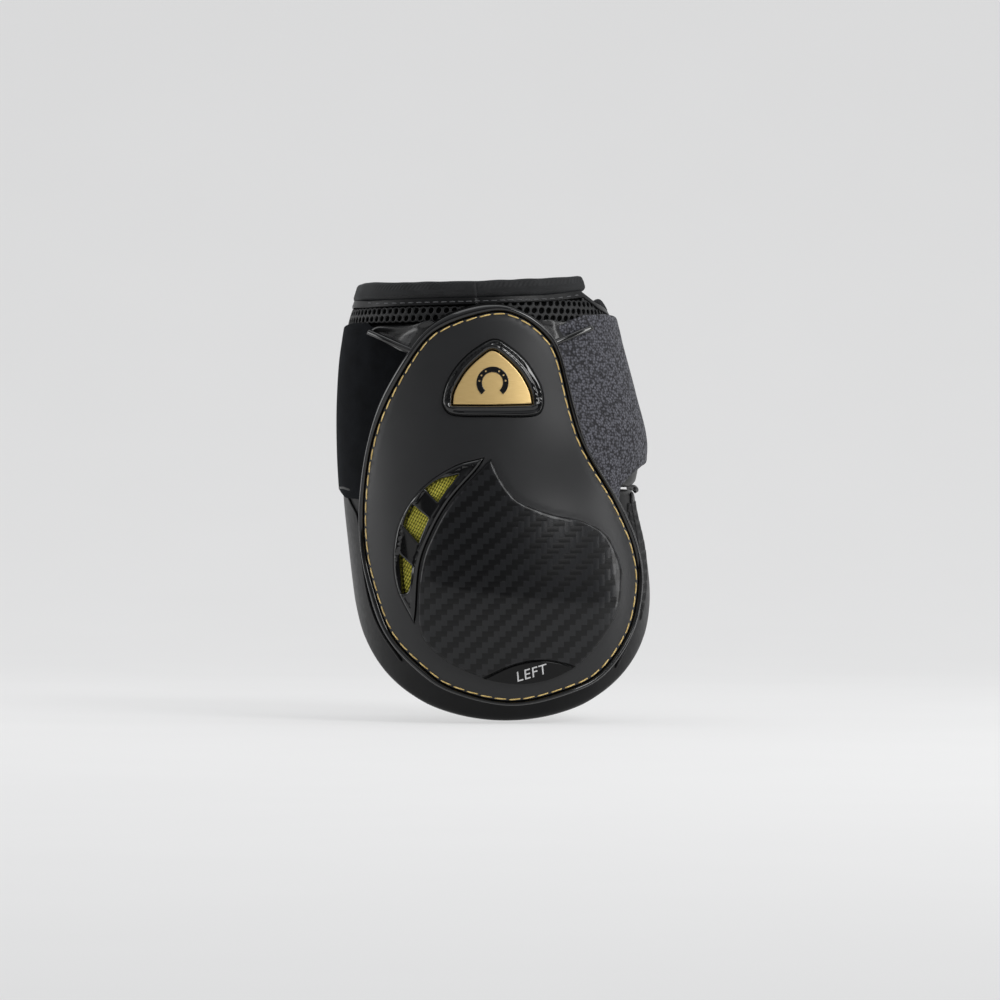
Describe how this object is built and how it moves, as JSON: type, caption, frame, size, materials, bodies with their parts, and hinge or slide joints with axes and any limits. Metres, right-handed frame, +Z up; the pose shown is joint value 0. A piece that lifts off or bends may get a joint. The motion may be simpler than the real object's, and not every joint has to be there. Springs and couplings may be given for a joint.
{
  "type": "horse fetlock boot",
  "caption": "Hind tendon and fetlock boot: moulded strike shell on a padded wrap, closed round the leg by one wide hook-and-loop strap.",
  "frame": {"origin": "on the leg's axis at the middle of the fetlock joint", "axes": "+Z up the leg, -Y the way the shell faces, +X to the right when the shell is looked at"},
  "size_m": [0.1175, 0.1087, 0.1638],
  "materials": {
    "shell_gloss": "high gloss moulded",
    "face_matte": "satin moulded",
    "thread_gold": "twisted thread",
    "thread_grey": "fine thread",
    "gel": "translucent gel",
    "carbon": "clear-coated twill",
    "letter_print": "satin",
    "vent_yellow": "knitted mesh",
    "badge_gold": "brushed satin",
    "emblem_black": "gloss",
    "neoprene": "smooth skin",
    "lining": "perforated lining",
    "binding": "elastic tape",
    "spacer_mesh": "honeycomb spacer mesh",
    "collar_lycra": "stretch cloth",
    "velvet": "loop velvet",
    "strap": "pebbled elastic",
    "hook": "hook tape"
  },
  "bodies": {
    "root": {"shell_rim": "shell_gloss", "shell_base": "shell_gloss", "left_wing": "shell_gloss", "right_wing": "shell_gloss", "face_panel": "face_matte", "face_stitching": "thread_gold", "flange_stitching": "thread_grey", "gel_pad": "gel", "strike_insert": "carbon", "side_label": "emblem_black", "side_label_letters": "letter_print", "vent_frame": "shell_gloss", "vent_mesh": "vent_yellow", "badge_bezel": "shell_gloss", "badge_plate": "badge_gold", "badge_emblem": "emblem_black", "cup_pad": "neoprene", "cup_lining": "lining", "cup_binding": "binding", "mesh_band_front": "spacer_mesh", "collar_front": "collar_lycra", "collar_stitching": "thread_grey", "loop_patch_front": "velvet", "strap_anchor": "strap"},
    "left_panel": {"loop_patch_side": "velvet", "left_panel_pad": "neoprene", "left_panel_lining": "lining", "left_panel_binding": "binding", "left_mesh_band": "spacer_mesh", "left_collar": "collar_lycra"},
    "right_panel": {"right_panel_pad": "neoprene", "right_panel_lining": "lining", "right_panel_binding": "binding", "right_mesh_band": "spacer_mesh", "right_collar": "collar_lycra"},
    "strap_back": {"strap_band": "strap"},
    "strap_end": {"strap_tab": "strap", "hook_patch": "hook"}
  },
  "joints": [
    {"name": "right_panel_open", "type": "hinge", "parent": "root", "child": "right_panel", "pos_m": [0.05312, -0.007, 0.072], "axis": [0.2416, 0, -0.9704], "range_deg": [0, 50]},
    {"name": "left_panel_open", "type": "hinge", "parent": "root", "child": "left_panel", "pos_m": [-0.0593, -0.007, 0.072], "axis": [0.0312, 0, 0.9995], "range_deg": [0, 30]},
    {"name": "strap_open", "type": "hinge", "parent": "right_panel", "child": "strap_back", "pos_m": [0.05262, -0.007, 0.074], "axis": [0.2416, 0, -0.9704], "range_deg": [0, 110]},
    {"name": "tab_peel", "type": "hinge", "parent": "strap_back", "child": "strap_end", "pos_m": [-0.002, 0.04868, 0.0745], "axis": [0, 0.1338, -0.991], "range_deg": [0, 100]}
  ],
  "couplings": [
    {"joint": "left_panel_open", "follows": "right_panel_open", "ratio": 0.6}
  ]
}
